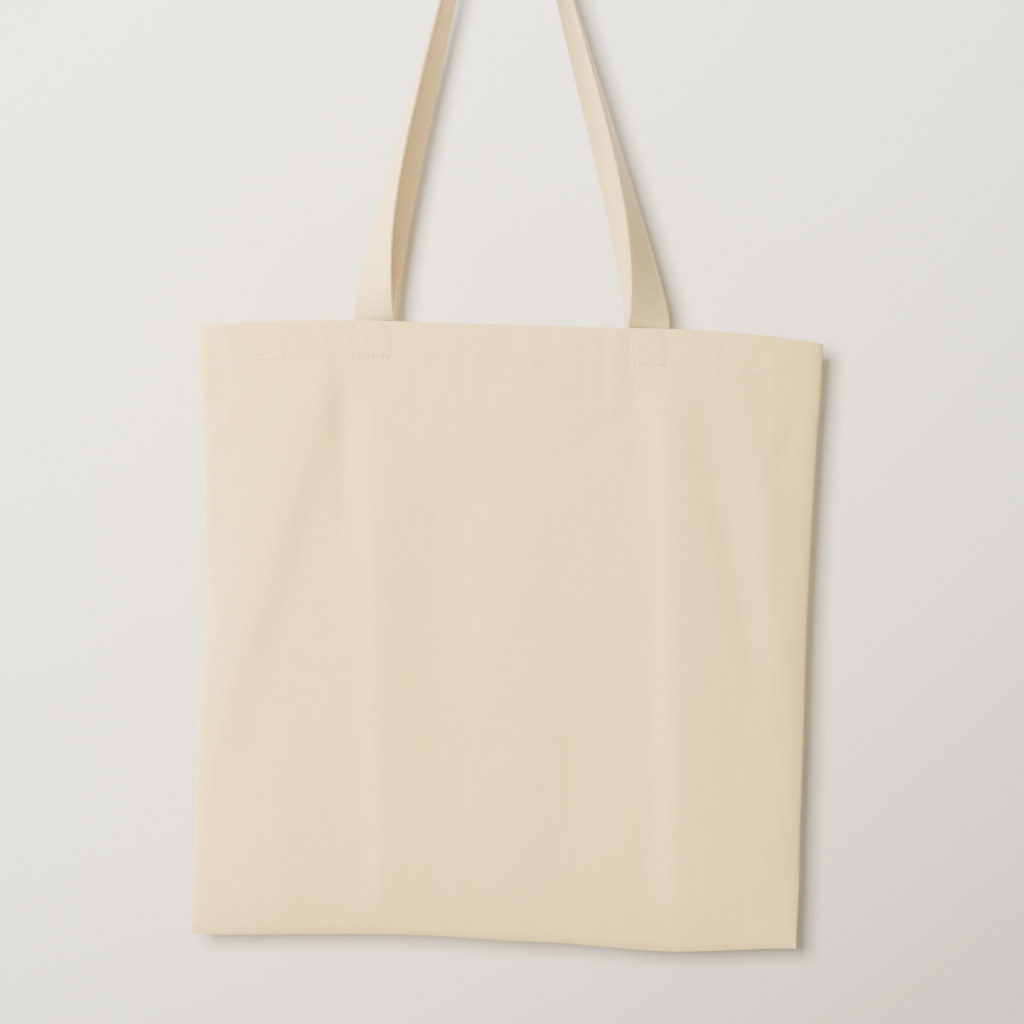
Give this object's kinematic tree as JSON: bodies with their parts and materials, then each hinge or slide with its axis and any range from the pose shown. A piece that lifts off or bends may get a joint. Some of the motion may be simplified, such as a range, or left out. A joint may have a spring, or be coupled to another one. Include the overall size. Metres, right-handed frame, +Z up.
{
  "type": "canvas tote bag",
  "caption": "Plain flat canvas tote bag with a turned and stitched hem and long strap handles sewn inside its mouth, hanging from a peg.",
  "frame": {"origin": "the peg seat: the point on top of a peg where the underside of both handles rests", "axes": "+Z up, -Y towards the front of the bag, +X to the right seen from the front"},
  "size_m": [0.3792, 0.0538, 0.6816],
  "materials": {
    "canvas": "plain woven natural cotton canvas",
    "strap": "folded natural cotton canvas, pressed flat",
    "thread": "natural cotton sewing thread"
  },
  "bodies": {
    "back": {"back_panel": "canvas", "back_hem": "canvas", "back_hem_stitching": "thread", "back_left_handle_end": "strap", "back_right_handle_end": "strap", "back_left_box_stitching": "thread", "back_right_box_stitching": "thread", "left_seam_allowance": "canvas", "right_seam_allowance": "canvas", "bottom_seam_allowance": "canvas", "left_seam_overlock": "thread", "right_seam_overlock": "thread", "bottom_seam_overlock": "thread"},
    "front": {"front_panel": "canvas", "front_hem": "canvas", "front_hem_stitching": "thread", "front_left_handle_end": "strap", "front_right_handle_end": "strap", "front_left_box_stitching": "thread", "front_right_box_stitching": "thread"},
    "front_strap": {"front_handle": "strap", "front_handle_inner_topstitch": "thread", "front_handle_outer_topstitch": "thread"},
    "back_strap": {"back_handle": "strap", "back_handle_inner_topstitch": "thread", "back_handle_outer_topstitch": "thread"}
  },
  "joints": [
    {"name": "mouth_open", "type": "hinge", "parent": "back", "child": "front", "pos_m": [0.0125, 0, -0.679], "axis": [1, 0, 0], "range_deg": [0, 10], "stiffness_Nm_per_rad": 1},
    {"name": "front_handle_fall", "type": "hinge", "parent": "front", "child": "front_strap", "pos_m": [0.0125, -0.0094, -0.305], "axis": [1, 0, 0], "range_deg": [0, 150]},
    {"name": "back_handle_fall", "type": "hinge", "parent": "back", "child": "back_strap", "pos_m": [0.0125, 0.0094, -0.305], "axis": [-1, 0, 0], "range_deg": [0, 150]}
  ]
}
